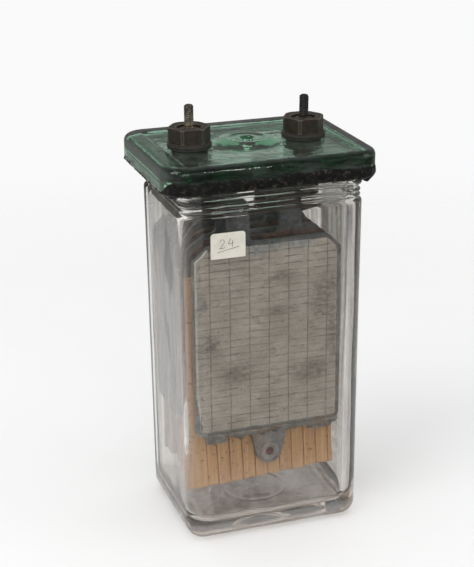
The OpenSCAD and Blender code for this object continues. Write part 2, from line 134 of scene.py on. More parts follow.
def rect_ring(w, d, r, z, straight, arc=16, x=0.0):
    """Rounded rectangle as one ring, with arc steps a corner and straight points a side."""
    pts = []
    cx, cy = w / 2 - r, d / 2 - r
    corners = [(cx, cy, 0), (-cx, cy, 90), (-cx, -cy, 180), (cx, -cy, 270)]
    for k, (cx, cy, a0) in enumerate(corners):
        for i in range(arc + 1):
            a = math.radians(a0 + 90 * i / arc)
            pts.append((cx + r * math.cos(a), cy + r * math.sin(a)))
        nx, ny, na = corners[(k + 1) % 4]
        b = math.radians(na)
        q0, q1 = np.array(pts[-1]), np.array((nx + r * math.cos(b), ny + r * math.sin(b)))
        pts += [tuple(q0 + (q1 - q0) * j / (straight + 1)) for j in range(1, straight + 1)]
    pts = np.array(pts)
    return np.column_stack([pts[:, 0] + x, pts[:, 1], np.full(len(pts), z)])


def circle_like(ring, radius, z):
    """Circle whose points lie at the polar angles of a ring's points."""
    flat = ring[:, :2] / np.linalg.norm(ring[:, :2], axis=1)[:, None] * radius
    return np.column_stack([flat, np.full(len(ring), z)])


def angles(n):
    return np.arange(n) * 2 * math.pi / n


def round_ring(a, r, z):
    """Ring at the angles a, whose radius may differ from point to point."""
    return np.column_stack([r * np.cos(a), r * np.sin(a), np.full(len(a), z)])


def thread(z, a, pitch):
    """Height of a thread's flank at z and the angles a: 0 in the root, 1 on the crest."""
    return 1 - np.abs(2 * np.mod(z / pitch - a / (2 * math.pi), 1.0) - 1)


def quarter(r, degrees):
    """Points of a quarter circle, as distances from its two tangents."""
    turns = [math.radians(a) for a in degrees]
    return [(r * (1 - math.cos(a)), r * (1 - math.sin(a))) for a in turns]


def smooth_path(points, steps):
    """Catmull-Rom path through points (k, 2)."""
    p = np.array([points[0], *points, points[-1]], float)
    out = []
    for i in range(1, len(p) - 2):
        a, b, c, d = p[i - 1:i + 3]
        for t in np.arange(steps) / steps:
            square, cube = 2 * a - 5 * b + 4 * c - d, 3 * b - a - 3 * c + d
            out.append(0.5 * (2 * b + (c - a) * t + square * t * t + cube * t ** 3))
    return np.array(out + [p[-2]])


def lathe(name, profile, x, y=0.0, n=64, wobble=0.0, seed=0, **kw):
    """Solid of revolution about a line at x, y through a profile of (radius, z)."""
    rings = []
    for r, z in profile:
        q = round_ring(angles(n), r, z)
        if wobble:
            q[:, :2] *= 1 + wobble * fbm(q / 4, 2, seed)[:, None] / max(r, 1)
        rings.append(q + [x, y, 0])
    return skin(name, rings, **kw)


def join(name, obs):
    """One object of several, with the mesh of all."""
    bm = bmesh.new()
    for ob in obs:
        bm.from_mesh(ob.data)
        bpy.data.objects.remove(ob)
    me = bpy.data.meshes.new(name)
    bm.to_mesh(me)
    bm.free()
    return place(name, me)


def drill(ob, r, x):
    """Cuts an upright round hole through the cover."""
    tool = lathe("hole", [(r, 250.0), (r, 275.0)], x, n=72)
    mod = ob.modifiers.new("hole", "BOOLEAN")
    mod.operation, mod.solver, mod.object = "DIFFERENCE", "EXACT", tool
    cut = ob.evaluated_get(bpy.context.evaluated_depsgraph_get())
    ob.data = bpy.data.meshes.new_from_object(cut)
    ob.modifiers.clear()
    bpy.data.objects.remove(tool)


def mark(ob, **values):
    """Stores a number for each point of a mesh, for its material to read."""
    for key, v in values.items():
        layer = ob.data.attributes.new(key, "FLOAT", "POINT")
        layer.data.foreach_set("value", np.asarray(v).astype(np.float32))


def dress(ob, mat):
    """Gives an object one material and returns the object."""
    ob.data.materials.clear()
    ob.data.materials.append(mat)
    return ob


# ---- materials

class Tree:
    """A node tree, with short calls for the nodes that are used here."""

    def __init__(self, tree):
        self.tree = tree
        tree.nodes.clear()

    def add(self, kind, ins=None, **props):
        """Node with its inputs linked or set. Colours are given without alpha."""
        n = self.tree.nodes.new(kind)
        for k, v in props.items():
            setattr(n, k, v)
        for k, v in (ins or {}).items():
            at = n.inputs[k]
            if isinstance(v, bpy.types.NodeSocket):
                self.tree.links.new(v, at)
            else:
                at.default_value = (*v, 1) if at.type == "RGBA" else v
        return n

    def blend(self, fac, a, b):
        return self.add("ShaderNodeMixShader", {0: fac, 1: a, 2: b}).outputs[0]

    def math(self, op, a, b, clamp=False):
        return self.add("ShaderNodeMath", {0: a, 1: b}, operation=op, use_clamp=clamp).outputs[0]

    def times(self, a, b, clamp=False):
        return self.math("MULTIPLY", a, b, clamp)

    def plus(self, a, b, clamp=False):
        return self.math("ADD", a, b, clamp)

    def minus(self, a, b, clamp=False):
        return self.math("SUBTRACT", a, b, clamp)

    def split(self, vector):
        return self.add("ShaderNodeSeparateXYZ", {0: vector}).outputs

    def fade(self, value, start, end, low=0.0, high=1.0, smooth=False):
        """Low to high as value goes from start to end."""
        ins = {"Value": value, "From Min": start, "From Max": end, "To Min": low, "To Max": high}
        shape = "SMOOTHSTEP" if smooth else "LINEAR"
        return self.add("ShaderNodeMapRange", ins, interpolation_type=shape).outputs[0]


class Paint(Tree):
    """A material. Its noise has its sizes in mm, and m.z is the height above the table."""

    def __init__(self, name):
        self.mat = bpy.data.materials.new(name)
        self.mat.use_nodes = True
        super().__init__(self.mat.node_tree)
        self.mm = self.stretched(self.add("ShaderNodeTexCoord").outputs["Object"], (1000, 1000, 1000))
        self.z = self.split(self.mm)["Z"]

    def stretched(self, vector, by):
        return self.add("ShaderNodeVectorMath", {0: vector, 1: by}, operation="MULTIPLY").outputs[0]

    def noise(self, size, detail, rough, stretch=(1, 1, 1), distort=0.0):
        """Noise whose blobs are about size mm; a stretch below 1 makes them longer that way."""
        where = self.stretched(self.mm, [s / size for s in stretch])
        ins = {"Vector": where, "Scale": 1.0, "Detail": detail, "Roughness": rough, "Distortion": distort}
        return self.add("ShaderNodeTexNoise", ins).outputs["Fac"]

    def ramp(self, value, low, high, ends=(0.0, 1.0)):
        n = self.add("ShaderNodeValToRGB", {"Fac": value})
        for e, at, grey in zip(n.color_ramp.elements, (low, high), ends):
            e.position = at
            e.color = (grey, grey, grey, 1)
        return n.outputs["Color"]

    def blotch(self, size, detail, rough, low, high, stretch=(1, 1, 1), distort=0.0, ends=(0.0, 1.0)):
        """Noise made into a mask that goes from one end to the other between low and high."""
        return self.ramp(self.noise(size, detail, rough, stretch, distort), low, high, ends)

    def mix(self, fac, a, b):
        return self.add("ShaderNodeMix", {0: fac, 6: a, 7: b}, data_type="RGBA").outputs[2]

    def over(self, c, *layers):
        """Colour c under layers of (colour, mask, share)."""
        for colour, mask, share in layers:
            c = self.mix(self.times(mask, share), c, colour)
        return c

    def attribute(self, name):
        return self.add("ShaderNodeAttribute", attribute_name=name).outputs["Fac"]

    def above(self, size, sway, low, high):
        """Mask that rises between two heights, along a wavy line."""
        return self.fade(self.plus(self.z, self.times(self.noise(size, 4, 0.6), sway)), low, high)

    def bump(self, height, distance, strength=1.0, normal=None):
        ins = {"Height": height, "Distance": distance / 1000, "Strength": strength}
        if normal is not None:
            ins["Normal"] = normal
        return self.add("ShaderNodeBump", ins).outputs["Normal"]

    def cast(self):
        """Bump of cast lead, fine grain and a broad unevenness."""
        return self.bump(self.noise(6, 3, 0.5), 0.8, 0.6, self.bump(self.noise(1.3, 5, 0.6), 0.35))

    def principled(self, **ins):
        ins = {k.replace("_", " "): v for k, v in ins.items()}
        return self.add("ShaderNodeBsdfPrincipled", ins).outputs[0]

    def finish(self, surface, **volume):
        self.add("ShaderNodeOutputMaterial", {"Surface": surface, **volume})
        return self.mat

    def done(self, **ins):
        return self.finish(self.principled(**ins))

    def glass(self, shadow, colour, density, **ins):
        """Glass that absorbs with depth. Lamp light passes through it, weakened by shadow."""
        clear = self.add("ShaderNodeBsdfTransparent", {"Color": shadow}).outputs[0]
        lamp_ray = self.add("ShaderNodeLightPath").outputs["Is Shadow Ray"]
        depth = self.add("ShaderNodeVolumeAbsorption", {"Color": colour, "Density": density})
        both = self.blend(lamp_ray, self.principled(IOR=1.5, **ins), clear)
        return self.finish(both, Volume=depth.outputs[0])


def shade(colour, k):
    return tuple(v * k for v in colour)


def jar_glass():
    """Clear glass with a film of dirt inside and a scuffed foot, both marked on the mesh."""
    m = Paint("jar_glass")
    smear = m.blotch(26, 5, 0.6, 0.45, 0.75)
    streak = m.blotch(8, 4, 0.6, 0.5, 0.8, (1, 1, 0.12))
    uneven = m.blotch(13, 5, 0.65, 0.38, 0.62, (1, 1, 0.10), ends=(0.50, 1.0))
    rubbed = m.blotch(5, 5, 0.65, 0.34, 0.62, (0.25, 0.25, 1.6), ends=(0.3, 1.0))
    soil = m.times(m.attribute("film"), uneven, True)
    scuff = m.times(m.attribute("scuff"), rubbed)
    haze = m.plus(m.times(streak, 0.012), m.times(smear, 0.006))
    haze = m.plus(haze, m.fade(soil, 0.35, 1.0, high=0.20))
    clean = m.minus(1.0, m.plus(haze, m.times(scuff, 0.75)), True)
    haze_colour = m.mix(m.fade(m.z, 60, 16), (0.10, 0.090, 0.068), (0.10, 0.044, 0.016))
    tint = m.mix(scuff, m.mix(soil, (0.97, 0.965, 0.955), haze_colour), (0.13, 0.074, 0.038))
    waves = m.bump(m.noise(30, 2, 0.4, (1, 1, 0.45)), 0.7, 0.6)
    return m.glass(
        (0.98, 0.98, 0.98), (0.55, 0.41, 0.24), 8.0, Base_Color=tint, Transmission_Weight=clean,
        Roughness=m.plus(0.004, m.times(smear, 0.012)), Normal=m.bump(m.noise(2.2, 2, 0.5), 0.02, 0.35, waves))


def cover_glass():
    """Thick green glass, dusty on top and smudged at the sides, with painted light: greyer on the left face and
    tinted green on the sides.
    """
    m = Paint("cover_glass")
    facing = m.split(m.add("ShaderNodeNewGeometry").outputs["Normal"])
    top, side = m.ramp(facing["Z"], 0.55, 0.95), m.ramp(facing["Z"], 0.35, 0.6, (1.0, 0.0))
    left = m.ramp(m.times(facing["X"], -1.0), 0.6, 0.9)
    dust = m.blotch(14, 6, 0.65, 0.35, 0.8)
    smudge = m.blotch(9, 5, 0.65, 0.46, 0.68, (0.35, 0.35, 2.2))
    dust_smudge_and_painted_light = m.plus(m.times(top, m.times(dust, 0.06)), m.times(side, m.times(smudge, 0.045)))
    # Painted light: the left face, which looks toward the key lamp, is made paler and less clear by its direction
    # alone.
    dust_smudge_and_painted_light = m.plus(dust_smudge_and_painted_light, m.times(left, 0.06))
    # Colour of the veil: pale dust on top; on the sides a green tint that is partly the smudges' colour and partly
    # painted light, as of light passing through the green glass.
    haze_colour = m.mix(side, (0.60, 0.58, 0.52), (0.33, 0.56, 0.39))
    waves = m.bump(m.noise(17, 3, 0.5, (0.6, 1, 1), 0.4), 0.9, 0.6)
    return m.glass(
        (0.80, 0.90, 0.84), (0.07, 0.47, 0.255), 72.0,
        Base_Color=m.mix(m.times(dust_smudge_and_painted_light, 6.0, True), (0.90, 0.955, 0.915), haze_colour),
        Transmission_Weight=m.minus(0.995, dust_smudge_and_painted_light), Roughness=m.plus(0.008, m.times(dust_smudge_and_painted_light, 0.6)),
        Normal=m.bump(m.noise(6, 2, 0.5, (1, 1, 1.5), 0.4), 0.22, 0.5, waves))


def compound_mat():
    """Black asphalt with a pale crust in specks."""
    m = Paint("compound")
    c = m.over((0.003, 0.003, 0.0027),
        ((0.062, 0.05, 0.036), m.blotch(2.6, 6, 0.7, 0.54, 0.66), 0.8),
        ((0.016, 0.018, 0.012), m.blotch(11, 3, 0.5, 0.45, 0.7), 0.25))
    rough = m.blotch(5, 4, 0.6, 0.38, 0.62, ends=(0.28, 0.75))
    return m.done(Base_Color=c, Roughness=rough, Specular_IOR_Level=0.3, Normal=m.bump(m.noise(1.6, 5, 0.65), 0.5))


def lead_mat(name, base, dark, rust, amount, rough=0.62, metal=0.25):
    m = Paint(name)
    c = m.over(m.mix(m.blotch(7, 6, 0.62, 0.35, 0.7), dark, base),
        (shade(dark, 0.55), m.blotch(2.2, 5, 0.7, 0.5, 0.72), 0.5),
        (rust, m.blotch(17, 4, 0.6, 0.5, 0.68), amount))
    return m.done(Base_Color=c, Metallic=metal, Roughness=rough, Normal=m.cast())


def negative_grid_mat():
    """Grey lead, dark and bluish on the lug and paler and stained further down."""
    m = Paint("negative_grid_lead")
    a = m.blotch(6, 6, 0.65, 0.36, 0.66)
    low = m.over(m.mix(a, (0.15, 0.152, 0.150), (0.31, 0.295, 0.27)),
        ((0.24, 0.165, 0.11), m.blotch(11, 5, 0.62, 0.50, 0.68), 0.5))
    high = m.mix(a, (0.045, 0.047, 0.050), (0.105, 0.110, 0.116))
    c = m.over(m.mix(m.above(8, 16.0, 195, 222), low, high),
        ((0.06, 0.056, 0.05), m.blotch(1.4, 5, 0.7, 0.42, 0.7), 0.35))
    return m.done(Base_Color=c, Metallic=0.2, Roughness=0.62, Normal=m.cast())


def positive_grid_mat():
    """Brown frame stained by its paste, with a bare grey lug above it."""
    m = Paint("positive_grid_lead")
    a = m.blotch(5, 6, 0.65, 0.38, 0.66)
    brown = m.over(m.mix(a, (0.030, 0.021, 0.017), (0.095, 0.062, 0.047)),
        ((0.15, 0.062, 0.036), m.blotch(9, 5, 0.65, 0.44, 0.62), 0.6))
    grey = m.mix(a, (0.040, 0.041, 0.041), (0.115, 0.118, 0.118))
    c = m.mix(m.above(6, 9.0, 213.5, 217.5), brown, grey)
    return m.done(Base_Color=c, Metallic=0.2, Roughness=0.68, Normal=m.bump(m.noise(1.3, 5, 0.6), 0.4))


def plate_face_mat():
    """Smeared face of a pasted plate. The mesh says where lines, stains and edges lie."""
    m = Paint("grey_paste_face")
    pale, mid, dark = (0.445, 0.412, 0.362), (0.325, 0.298, 0.258), (0.07, 0.062, 0.053)
    stain, bluish, bright = (0.19, 0.165, 0.135), (0.19, 0.21, 0.215), (0.56, 0.57, 0.55)
    c = m.over(m.mix(m.blotch(5, 5, 0.6, 0.35, 0.68, (0.35, 1, 1.6)), mid, pale),
        (mid, m.attribute("cell"), 0.35),
        (stain, m.blotch(22, 5, 0.62, 0.42, 0.66), 0.4),
        (shade(stain, 0.55), m.attribute("stained"), 0.78),
        (shade(stain, 0.75), m.blotch(1.0, 3, 0.55, 0.55, 0.64, (0.09, 1, 1.3), 0.05), 0.2),
        (shade(stain, 0.6), m.blotch(0.9, 3, 0.6, 0.55, 0.68), 0.35),
        (shade(stain, 0.6), m.blotch(13, 6, 0.68, 0.56, 0.70, (1, 1, 1.7), 0.3), 0.5),
        (stain, m.blotch(3.2, 5, 0.7, 0.60, 0.70, (1, 1, 1.8)), 0.5),
        (dark, m.blotch(1.1, 3, 0.6, 0.62, 0.74), 0.6),
        (bluish, m.attribute("bare"), m.blotch(4, 5, 0.65, 0.36, 0.60, (1, 1, 0.5))),
        (bright, m.attribute("edge"), 0.8),
        (dark, m.attribute("line"), 0.8))
    return m.done(Base_Color=c, Roughness=0.8, Normal=m.bump(m.noise(1.0, 5, 0.65), 0.22))


def wood_mat():
    """Cedar with upright grain, specks of dirt, and darker grooves and ends marked on the mesh."""
    m = Paint("cedar")
    grain = m.blotch(1.5, 5, 0.6, 0.36, 0.66, (1, 1, 0.035), 0.4)
    faint = m.blotch(7, 4, 0.6, 0.35, 0.62, (1, 1, 0.5), ends=(0.10, 0.42))
    c = m.over(m.mix(grain, (0.40, 0.232, 0.115), (0.54, 0.342, 0.18)),
        ((0.50, 0.318, 0.165), m.blotch(9, 4, 0.55, 0.35, 0.68, (1, 0.5, 0.12)), 0.5),
        ((0.36, 0.21, 0.115), m.blotch(19, 5, 0.6, 0.52, 0.72, (1, 1, 0.5)), 0.35),
        ((0.07, 0.038, 0.024), m.blotch(2.6, 4, 0.6, 0.60, 0.66), 0.7),
        ((0.13, 0.062, 0.03), m.attribute("line"), faint))
    return m.done(Base_Color=c, Roughness=0.78, Normal=m.bump(m.noise(0.9, 4, 0.6, (1, 1, 0.05)), 0.25))


def nut_mat(name, base, rust, edge, rough=0.5):
    """Dark metal or rubber, paler along its edges: a painted highlight."""
    m = Paint(name)
    # Painted highlight: the edge colour laid on the sharp edges, found from the mesh's pointiness.
    worn = m.ramp(m.add("ShaderNodeNewGeometry").outputs["Pointiness"], 0.502, 0.535)
    c = m.over(m.mix(m.blotch(5, 6, 0.65, 0.36, 0.66), shade(base, 0.55), base),
        (rust, m.blotch(7, 5, 0.65, 0.50, 0.70), 0.55),
        (edge, m.blotch(0.8, 4, 0.7, 0.6, 0.75), 0.35),
        (edge, worn, 0.38))
    normal = m.bump(m.noise(4.5, 3, 0.5), 0.4, 0.6, m.bump(m.noise(0.9, 5, 0.6), 0.14))
    return m.done(Base_Color=c, Metallic=0.35, Roughness=rough, Normal=normal)


def stud_mat(name, bare, tarnish, more):
    """Rod whose tarnish lies in patches, and all over near its top."""
    m = Paint(name)
    near_top = m.times(m.fade(m.z, 284, 293), 0.6)
    patches = m.times(m.blotch(2.6, 5, 0.65, 0.40, 0.60), 0.75)
    c = m.over(m.mix(m.plus(patches, m.plus(near_top, more), True), bare, tarnish),
        (shade(bare, 1.5), m.blotch(1.0, 4, 0.7, 0.60, 0.72), 0.4))
    return m.done(Base_Color=c, Metallic=0.4, Roughness=0.5, Normal=m.bump(m.noise(0.7, 4, 0.6), 0.1))


def paper_mat():
    m = Paint("label_paper")
    c = m.mix(m.blotch(9, 4, 0.6, 0.4, 0.75), (0.63, 0.605, 0.535), (0.55, 0.52, 0.445))
    return m.done(Base_Color=c, Roughness=0.75, Normal=m.bump(m.noise(0.7, 5, 0.6), 0.04))


def pencil_mat():
    m = Paint("pencil")
    c = m.mix(m.noise(0.5, 3, 0.6), (0.03, 0.03, 0.033), (0.16, 0.16, 0.165))
    return m.done(Base_Color=c, Roughness=0.5)


def floor_mat():
    """Pale table that fades out into the backdrop, close in front and far behind."""
    m = Paint("stage_floor")
    c = m.mix(m.noise(120, 2, 0.5), (0.85, 0.85, 0.85), (0.87, 0.87, 0.87))
    near = m.fade(m.split(m.mm)["Y"], -170, -95, smooth=True)
    reach = m.add("ShaderNodeVectorMath", {0: m.mm}, operation="LENGTH").outputs["Value"]
    there = m.times(near, m.fade(reach, 1000, 330, smooth=True))
    gone = m.add("ShaderNodeBsdfTransparent").outputs[0]
    solid = m.principled(Base_Color=c, Roughness=0.9, Specular_IOR_Level=0.1)
    return m.finish(m.blend(there, gone, solid))


# ---- glass

# Rings of the jar's neck: height over the shoulder, how far they stand out, half their height.
NECK_RINGS = ((2.8, 1.2, 0.5), (6.2, 1.2, 0.5), (11.4, 2.2, 1.1))
# The cover's boss, from its foot to the vent hole: radius and height over the panel.
BOSS = ((22.4, 0.12), (20, 0.85), (17.5, 1.75), (15.6, 2.45), (14.6, 2.85), (13.6, 3.0), (12.0, 2.92),
        (10.5, 2.6), (8.5, 2.5), (6.8, 2.75), (5.2, 2.9), (4.5, 2.75), (4.05, 2.3), (VENT_R, 1.6))


def jar_path():
    """Height and inset of the jar's skin, up the outside, over the rim and down the inside."""
    foot = [(0.0, BASE_R + 6.0), (0.0, BASE_R + 2.0)] + quarter(BASE_R, range(4, 91, 7))
    side = [(z, 0.0) for z in np.arange(14, SHOULDER - 3, 4.0)]
    neck = [(-2.4, 0.0), (-1.3, 0.12), (-0.4, 0.5), (0.2, 1.2), (0.7, 1.9), (1.3, 2.15)]
    for mid, out, half in NECK_RINGS:
        for t in np.linspace(-1, 1, 9):
            lift = max(0.0, 1 - abs(t) ** 3) if half > 1 else math.cos(t * math.pi / 2) ** 0.8
            neck.append((mid + t * (half + 0.75), NECK_IN - out * lift))
    neck += [(14.0, NECK_IN), (17.0, NECK_IN), (20.5, NECK_IN), (21.4, 2.45), (21.9, 3.0), (22.0, 3.8),
             (21.7, 4.7), (21.0, 5.3), (20.0, WALL)]
    neck = [(SHOULDER + z, inset) for z, inset in neck]
    inside = [(z, WALL) for z in np.arange(SHOULDER + 17, FLOOR + 12, -4.0)]
    turn = [(FLOOR + up, WALL + inward) for up, inward in quarter(11, range(84, 3, -8))]
    return foot + side + neck + inside + turn


def build_jar():
    """One skin of outside, rim, inside and floor, uneven as moulded glass is."""
    rings, films, scuffs = [], [], []
    for z, inset in jar_path():
        lean = 1 - min(z, SHOULDER) / SHOULDER
        w, d = JAR_W - 2 * (LEAN_W * lean + inset), JAR_D - 2 * (LEAN_D * lean + inset)
        within = inset >= WALL - 0.01
        if within:
            r = INNER_R - 0.77 * (inset - WALL)
        else:
            r = max(JAR_R - inset, 5.0 + 1.2 * inset if z > 250 else 5.0)
        q = rect_ring(w, d, r, z, straight=12)
        x, y = q[:, 0].copy(), q[:, 1].copy()
        right, left = rise(x, w / 2 - 9, w / 2 - 2), rise(-x, w / 2 - 9, w / 2 - 2)
        behind, foot, high = rise(y, 25, 37), rise(z, 26, 12), rise(z, 222, 236)
        film = np.maximum.reduce([
            right * np.interp(z, [20, 90, 190], [0.42, 0.66, 1.0]),
            left * np.interp(z, [60, 150], [0.85, 1.25]) * np.maximum(rise(y, -33, -25), 0.45) * (y < 45),
            0.3 * behind, np.full(len(q), 0.6 * foot), 0.34 * high * (1 - behind)])
        corner = rise(x, w / 2 - 13, w / 2 - 9) * rise(y, 16 - d / 2, 12 - d / 2)
        films.append(film if within else 0.6 * corner * (z < SHOULDER))
        worn = np.interp(z, [0, 3, 8, 15], [1, 0.9, 0.65, 0]) + 0.22 * rise(x, w / 2 - 7, w / 2 - 2)
        scuffs.append(np.clip(worn, 0, 1) * (not within))
        size, seed = (0.28, 3) if within else (0.10, 8)
        out = q[:, :2] / [w, d]
        out = out / np.linalg.norm(out, axis=1)[:, None]
        q[:, :2] += out * (size * fbm(q / [26, 26, 38], 2, seed))[:, None]
        if 12 < z < SHOULDER - 4 and inset < 0.01:
            q[:, :2] = np.clip(q[:, :2], [-JAR_W / 2, -JAR_D / 2], [JAR_W / 2, JAR_D / 2])
        rings.append(q + [SHIFT, 0, 0])
    last = rings[-1] - [SHIFT, 0, 0]
    disc = circle_like(last, 44.0, 0)
    for share in (0.85, 0.7, 0.58, 0.53, 0.515, 0.50, 0.485, 0.47, 0.4, 0.25, 0.1):
        q = last * [share, share, 1]
        rounder = min(1.0, (1 - share) * 2)
        q[:, :2] = q[:, :2] * (1 - rounder) + disc[:, :2] * share * rounder
        r = np.linalg.norm(q[:, :2], axis=1)
        ring = 0.6 * np.exp(-((r - MOULD_RING_R) / 0.8) ** 2)
        q[:, 2] = FLOOR + 0.15 - 0.7 * share ** 2 + ring + 0.25 * fbm(q / 17, 2, 5)
        rings.append(q + [SHIFT, 0, 0])
        clouds = 0.2 * np.clip(fbm(q / 30, 3, 15), -1, 1)
        films.append(0.80 - 0.46 * np.clip(q[:, 0] / 40, -0.25, 1) + clouds)
        scuffs.append(np.zeros(len(q)))
    ob = skin("jar_glass_body", rings, smooth_angle=60)
    mark(ob, film=np.concatenate(films), scuff=np.concatenate(scuffs))
    return dress(ob, jar_glass())


def cover_ring(inset, z, straight=24):
    w, d = COVER_W - 2 * inset, COVER_D - 2 * inset
    return rect_ring(w, d, max(COVER_R - inset, 5.0), z, straight)


def build_cover():
    """One skin of skirt, rounded top edge, sunk panel, boss, vent and ceiling, with two post holes."""
    rim = [(CEILING, 7.0), (CEILING - 0.5, 6.1), (CEILING - 1.3, 5.3), (CEILING - 2.2, SKIRT),
           (254.0, SKIRT), (251.5, SKIRT), (250.3, 4.95), (249.75, 4.6), (COVER_Z, 3.8), (COVER_Z, 2.6),
           (COVER_Z + 0.05, 1.3), (COVER_Z + 0.4, 0.4), (COVER_Z + 1.1, 0.0)]
    rim += [(z, 0.0) for z in (252.0, 254.0, 256.0, 258.0, 260.0, 261.8)]
    rim += [(COVER_TOP - down, inset) for inset, down in quarter(TOP_EDGE_R, range(0, 91, 9))]
    rim += [(COVER_TOP, 6.5), (COVER_TOP - 0.05, 8.5), (COVER_TOP, 10.5), (COVER_TOP - 0.08, 11.6),
            (COVER_TOP - 0.45, 12.6), (PANEL + 0.35, 13.5), (PANEL + 0.05, 14.4), (PANEL, 16.0)]
    rings = []
    for z, inset in rim:
        q = cover_ring(inset, z, straight=16)
        if 0 < inset and z > 262:
            q[:, 2] += 0.12 * fbm(q / 15, 2, 12) * min(1, inset / 6)
        rings.append(q)
    edge = rings[-1]
    for share in (0.2, 0.4, 0.6, 0.8, 1.0):
        q = edge * (1 - share) + circle_like(edge, BOSS_R, PANEL) * share
        q[:, 2] = PANEL + 0.14 * fbm(q / 13, 2, 21)
        rings.append(q)
    rings += [circle_like(edge, r, PANEL + up) for r, up in BOSS]
    rings += [circle_like(edge, VENT_R, z) for z in (264.0, 261.0, 258.6)]
    rings += [circle_like(edge, r, CEILING) for r in (4.4, 12.0, 22.0, 32.0)]
    last = rings[-1]
    rings += [last * (1 - share) + rings[0] * share for share in (0.35, 0.7, 0.93)]
    ob = skin("cover_glass_plate", rings, wrap=True, smooth_angle=50)
    drill(ob, POST_HOLE_R, -POST_X)
    drill(ob, POST_HOLE_R, POST_X)
    soften(ob.data, 50)
    return dress(ob, cover_glass())


def build_compound(mat):
    """Bed of compound in the skirt, round the jar's rim."""
    def wetted(dry, wet, dry_z, wet_z):
        """Ring just off the glass, but sunk into it along the front, where it has wetted it."""
        a, b = cover_ring(dry, dry_z), cover_ring(wet, wet_z)
        share = rise(a[:, 1:2], -44, -50)
        return a * (1 - share) + b * share

    def jar_ring(inset, z):
        w, d = JAR_W - 2 * inset, JAR_D - 2 * inset
        return rect_ring(w, d, max(JAR_R - inset, 5.0), z, straight=24, x=SHIFT)

    rings = []
    for z in (249.9, 250.8, 251.8, 252.8, 253.8, 254.7, 255.5):
        q = wetted(SKIRT + 0.12, SKIRT - 0.12, z, z)
        q[:, :2] *= 1 - 0.0032 * np.abs(fbm(q / 2.4, 3, 4))[:, None]
        rings.append(q)
    rings += [wetted(5.45, 5.2, 256.4, 256.6), wetted(6.25, 6.0, 257.2, 257.42),
              wetted(7.1, 6.95, 257.68, 257.93), wetted(9.8, 9.8, CEILING - 0.1, CEILING + 0.12),
              jar_ring(WALL - 0.3, CEILING - 0.1), jar_ring(WALL - 0.3, 255.5), jar_ring(1.9, 255.4),
              jar_ring(1.85, 252.5), jar_ring(1.85, 249.6)]
    inner, outer = rings[-1], cover_ring(5.3, 249.6)
    for share in (0.2, 0.4, 0.6, 0.8, 0.95):
        q = inner * (1 - share) + outer * share
        q[:, 2] = 249.35 - 1.3 * np.clip(fbm(q / 6, 3, 9), -0.1, 1) * math.sin(math.pi * share)
        rings.append(q)
    return dress(skin("compound_bed", rings, wrap=True, smooth_angle=50), mat)


# Section of the smear from its top down: share of its height, and how far it stands out in mm.
SMEAR = ((1.0, -0.25), (0.985, 0.06), (0.95, 0.16), (0.85, 0.26), (0.7, 0.32), (0.5, 0.34), (0.3, 0.33),
         (0.12, 0.28), (0.03, 0.1), (0.0, -0.5))
SMEAR_Z = 249.45


def build_smear(mat):
    """Compound that has run over the skirt's outer face: deep at the front, thin at the left."""
    base = rect_ring(COVER_W, COVER_D, COVER_R, 0.0, straight=150, arc=40)
    along = np.roll(base, -1, axis=0) - np.roll(base, 1, axis=0)
    out = np.column_stack([along[:, 1], -along[:, 0], np.zeros(len(base))])
    out /= np.linalg.norm(out, axis=1)[:, None]
    x, y = base[:, 0], base[:, 1]
    front, left = rise(y, -40, -54), rise(x, -60, -72) * rise(y, -52, -46)
    tall = 5.2 + 3.0 * front - 3.8 * left + 1.3 * fbm(base / 7, 3, 31) + 0.7 * fbm(base / 1.6, 2, 32)
    gaps = 5.5 * np.clip(fbm(base / 5 + 9, 2, 33) - 0.75, 0, 1)
    tall = np.clip(tall - gaps, 0.7, 9.6)
    rings = []
    for share, lift in SMEAR:
        q = base.copy()
        q[:, 2] = SMEAR_Z + tall * share
        rough = 1 + 0.9 * fbm(q / 2.2, 3, 34) if lift > 0.03 else np.ones(len(q))
        under = 1.25 * rise(q[:, 2], 250.6, 249.4) ** 2
        rings.append(q + out * (lift * rough - under)[:, None])
    for inset, z in ((2.6, 249.0), (4.6, 249.0), (5.4, 249.6)):
        q = base + out * -inset
        q[:, 2] = z - 0.35 * np.clip(fbm(q / 3, 2, 35), -0.5, 1)
        rings.append(q)
    closing = base + out * -1.5
    closing[:, 2] = 249.9
    return dress(skin("compound_smear", rings + [closing], wrap=True, smooth_angle=60), mat)


# Lumps of compound under the skirt: x, y, radius and how far they hang.
LUMPS = ((65, -50, 4.2, 3.6), (58, -53, 3.2, 2.6), (69, -42, 3.0, 2.4), (-66, -49, 3.6, 3.0),
         (-58, -53, 2.8, 2.2), (-44, -54, 2.4, 1.6), (12, -54, 2.2, 1.2), (69, -28, 2.4, 1.5))
LUMP_Z = 250.0


def build_lumps(mat):
    made = []
    for k, (x, y, r, tall) in enumerate(LUMPS):
        section = [(0.02, -tall), (0.45 * r, -0.93 * tall), (0.8 * r, -0.6 * tall), (r, 0.0),
                   (0.85 * r, 1.2), (0.4 * r, 2.0), (0.02, 2.2)]
        ob = lathe("lump", [(radius, z + LUMP_Z) for radius, z in section], x, y, n=28)
        pts = np.array([v.co for v in ob.data.vertices]) * 1000
        away = pts - [x, y, LUMP_Z]
        away /= np.linalg.norm(away, axis=1)[:, None] + 1e-6
        pts = pts + away * (0.9 * fbm(pts / 2.6, 3, 40 + k))[:, None]
        ob.data.vertices.foreach_set("co", (pts / 1000).ravel())
        made.append(ob)
    return dress(join("compound_lumps", made), mat)


# ---- plates and boards

# Stains on an outer plate: x and height of the middle, and half width and half height, in mm.
STAINS = ((41, 173, 10, 9), (37, 158, 8, 9), (45, 138, 5, 13), (-42, 141, 11, 9), (-22, 119, 12, 7),
          (31, 114, 12, 7), (-47, 172, 4, 9), (8, 184, 8, 4), (8, 161, 12, 3))


